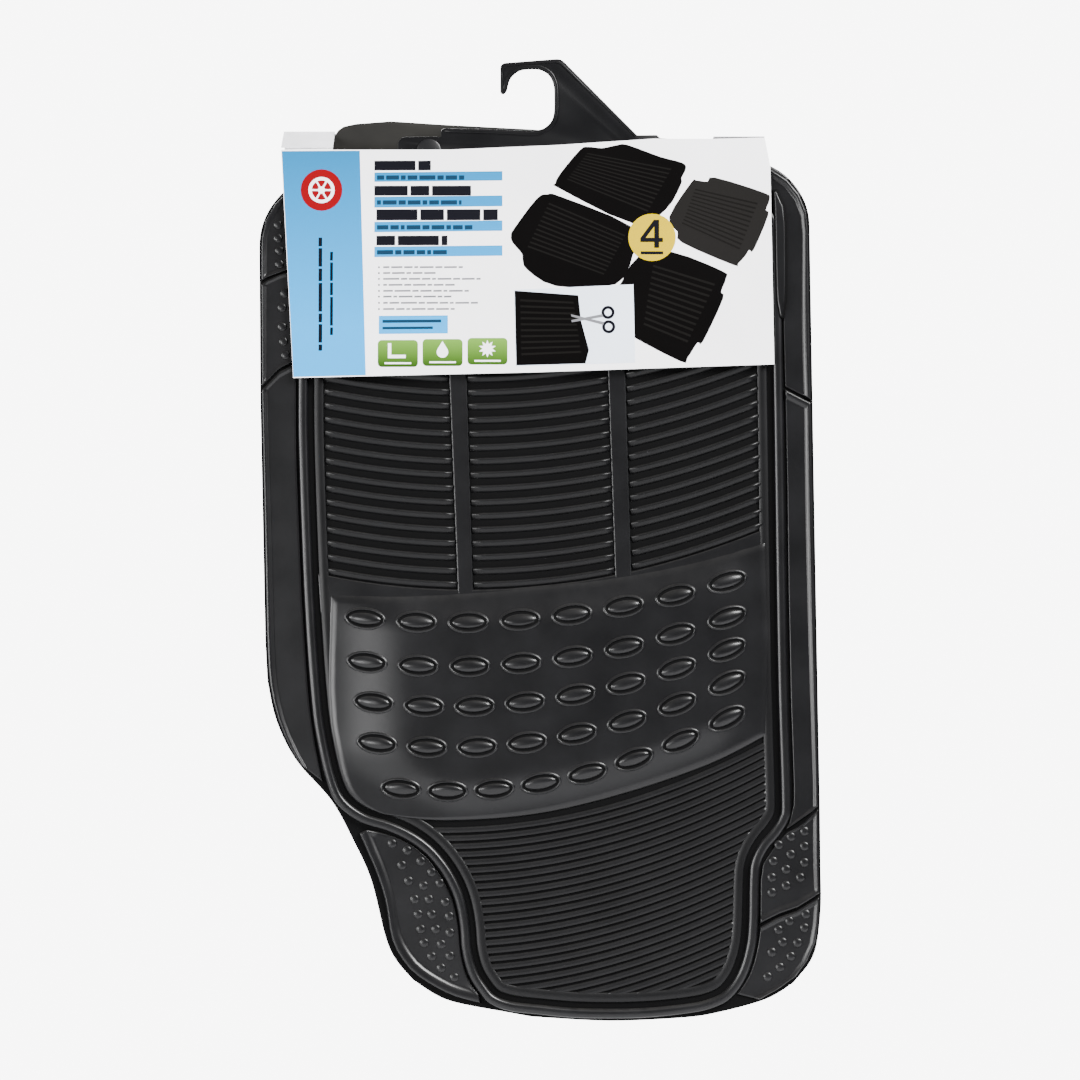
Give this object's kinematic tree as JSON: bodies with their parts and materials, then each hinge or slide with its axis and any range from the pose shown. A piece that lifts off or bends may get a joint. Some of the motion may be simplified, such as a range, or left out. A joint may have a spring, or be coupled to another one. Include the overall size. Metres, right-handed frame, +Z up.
{
  "type": "floor mat set",
  "caption": "Rubber car floor mat set clamped in a plastic hook hanger with a folded header card; the mats and the card panels swing up from the clamp.",
  "frame": {"origin": "the seat of the hook, where a shop's peg carries the set, on the hook plate's mid-plane", "axes": "+Z up, -Y out of the front of the pack towards the shopper, +X to the right seen from the front"},
  "size_m": [0.4131, 0.0311, 0.7071],
  "materials": {
    "mat_rubber": "moulded, fine grain with a soft sheen",
    "hanger_plastic": "moulded satin",
    "pin_plastic": "smoky translucent",
    "printed_card": "coated, printed in colour"
  },
  "bodies": {
    "clamp": {"hanger_hook_plate": "hanger_plastic", "hanger_back_plate": "hanger_plastic", "snap_pin_left": "pin_plastic", "snap_pin_right": "pin_plastic", "snap_cap_left": "pin_plastic", "snap_cap_right": "pin_plastic", "card_bridge_left": "printed_card", "card_bridge_right": "printed_card", "driver_mat_head": "mat_rubber", "rear_mat_left_head": "mat_rubber", "rear_mat_right_head": "mat_rubber", "passenger_mat_head": "mat_rubber"},
    "driver_mat": {"driver_mat_leaf": "mat_rubber"},
    "rear_mat_left": {"rear_mat_left_leaf": "mat_rubber"},
    "rear_mat_right": {"rear_mat_right_leaf": "mat_rubber"},
    "passenger_mat": {"passenger_mat_leaf": "mat_rubber"},
    "card_front": {"card_front_panel": "printed_card"},
    "card_back": {"card_back_panel": "printed_card"}
  },
  "joints": [
    {"name": "driver_mat_lift", "type": "hinge", "parent": "clamp", "child": "driver_mat", "pos_m": [0, 0.0018, -0.076], "axis": [-1, 0, 0], "range_deg": [0, 45]},
    {"name": "card_front_lift", "type": "hinge", "parent": "clamp", "child": "card_front", "pos_m": [0, -0.0039, -0.05485], "axis": [-0.9997, 0, -0.0253], "range_deg": [0, 68]},
    {"name": "passenger_mat_lift", "type": "hinge", "parent": "clamp", "child": "passenger_mat", "pos_m": [0, 0.0208, -0.076], "axis": [1, 0, 0], "range_deg": [0, 60]},
    {"name": "rear_mat_right_lift", "type": "hinge", "parent": "clamp", "child": "rear_mat_right", "pos_m": [0, 0.0138, -0.076], "axis": [1, 0, 0], "range_deg": [0, 41]},
    {"name": "rear_mat_left_lift", "type": "hinge", "parent": "clamp", "child": "rear_mat_left", "pos_m": [0, 0.011, -0.076], "axis": [1, 0, 0], "range_deg": [0, 21]},
    {"name": "card_back_lift", "type": "hinge", "parent": "clamp", "child": "card_back", "pos_m": [0, 0.0272, -0.04815], "axis": [0.9997, 0, -0.0242], "range_deg": [0, 61]}
  ],
  "couplings": [
    {"joint": "card_front_lift", "follows": "driver_mat_lift", "ratio": 1.5},
    {"joint": "rear_mat_right_lift", "follows": "passenger_mat_lift", "ratio": 0.66},
    {"joint": "rear_mat_left_lift", "follows": "passenger_mat_lift", "ratio": 0.33},
    {"joint": "card_back_lift", "follows": "passenger_mat_lift", "ratio": 1}
  ]
}
